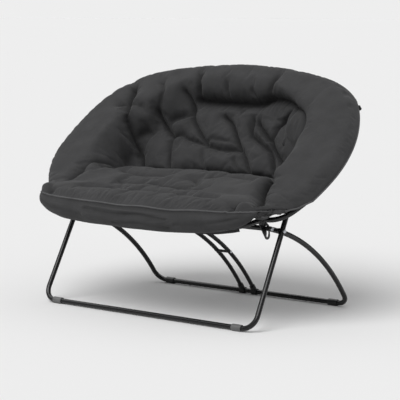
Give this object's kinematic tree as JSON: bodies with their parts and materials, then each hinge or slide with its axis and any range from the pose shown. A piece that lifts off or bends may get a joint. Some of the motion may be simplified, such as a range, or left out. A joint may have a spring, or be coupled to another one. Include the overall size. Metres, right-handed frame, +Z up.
{
  "type": "folding saucer chair",
  "caption": "Double-width folding saucer chair: black tube frame with crossed U legs, a padded dish with a rim band and a roll at its front.",
  "frame": {"origin": "on the floor under the middle of the whole chair", "axes": "+Z up, +X to the right as seen from the front, the sitter faces -Y"},
  "size_m": [1.383, 0.7697, 0.9238],
  "materials": {
    "frame_paint": "satin black powder coat",
    "bolt_steel": "zinc plated",
    "black_nylon": "moulded nylon",
    "grey_plastic": "moulded polypropylene",
    "charcoal_fabric": "brushed polyester microfibre"
  },
  "bodies": {
    "front_frame": {"front_leg_tube": "frame_paint", "back_arch_tube": "frame_paint", "arch_saddle_left": "black_nylon", "arch_saddle_right": "black_nylon", "hinge_plug_left": "black_nylon", "hinge_plug_right": "black_nylon", "hinge_bolt_left": "bolt_steel", "hinge_bolt_right": "bolt_steel", "leg_pivot_bolt_left": "bolt_steel", "leg_pivot_bolt_right": "bolt_steel", "leg_spacer_left": "black_nylon", "leg_spacer_right": "black_nylon", "front_foot_collar_left": "grey_plastic", "front_foot_collar_right": "grey_plastic", "rim_band": "charcoal_fabric", "seat_rear_pad": "charcoal_fabric", "back_pad": "charcoal_fabric"},
    "rear_leg": {"rear_leg_tube": "frame_paint", "rear_cross_tube": "frame_paint", "cross_plug_left": "black_nylon", "cross_plug_right": "black_nylon", "steering_bolt_left": "bolt_steel", "steering_bolt_right": "bolt_steel", "steering_sleeve_left": "black_nylon", "steering_sleeve_right": "black_nylon", "centre_bar_left": "frame_paint", "centre_bar_right": "frame_paint", "rail_saddle_left": "black_nylon", "rail_saddle_right": "black_nylon", "centre_tie": "bolt_steel", "tie_spacer": "black_nylon", "stub_cap_left": "black_nylon", "stub_cap_right": "black_nylon", "rear_foot_collar_left": "black_nylon", "rear_foot_collar_right": "black_nylon"},
    "seat_ring": {"seat_ring_tube": "frame_paint", "hinge_lug_left": "black_nylon", "hinge_lug_right": "black_nylon", "lock_knob_left": "black_nylon", "lock_knob_right": "black_nylon", "slot_plate_left": "frame_paint", "slot_plate_right": "frame_paint", "seat_front_pad": "charcoal_fabric", "front_roll": "charcoal_fabric"}
  },
  "joints": [
    {"name": "leg_fold", "type": "hinge", "parent": "front_frame", "child": "rear_leg", "pos_m": [0, -0.09562, 0.347], "axis": [1, 0, 0], "range_deg": [-78, 0]},
    {"name": "seat_fold", "type": "hinge", "parent": "front_frame", "child": "seat_ring", "pos_m": [0, -0.17344, 0.39498], "axis": [1, 0, 0], "range_deg": [0, 48]}
  ],
  "couplings": [
    {"joint": "seat_fold", "follows": "leg_fold", "ratio": -0.61538}
  ]
}
